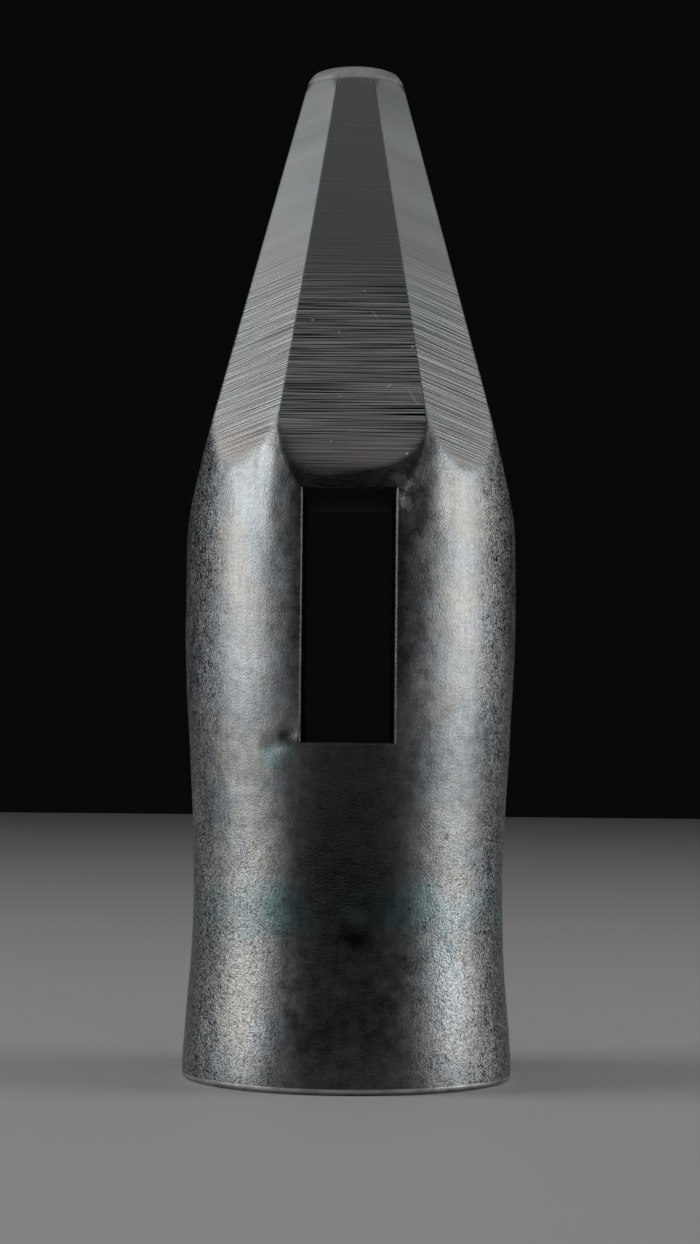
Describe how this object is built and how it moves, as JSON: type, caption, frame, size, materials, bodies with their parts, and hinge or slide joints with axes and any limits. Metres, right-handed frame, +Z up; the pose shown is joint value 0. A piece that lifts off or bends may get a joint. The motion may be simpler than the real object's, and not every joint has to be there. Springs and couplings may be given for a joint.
{
  "type": "hammer head",
  "caption": "Carpenter's hammer head without a handle: round striking end, rectangular through eye, tapered eight-sided peen.",
  "frame": {"origin": "centre of the striking face, which the head stands on", "axes": "+Z up the head from the striking face to the peen's tip; the eye goes through along Y, with its long side along Z; +X across the eye"},
  "size_m": [0.0312, 0.031, 0.0956],
  "materials": {
    "forged_body": "forged soft steel, heat-tinted and oiled, with ground flats and bevels above the eye",
    "face_steel": "hardened steel, dark and heat-tinted on the side, with a bright ground chamfer and face",
    "peen_steel": "hardened steel, ground across on eight sides and polished on the domed tip"
  },
  "bodies": {
    "root": {"body": "forged_body", "face_steel": "face_steel", "peen_steel": "peen_steel"}
  },
  "joints": []
}
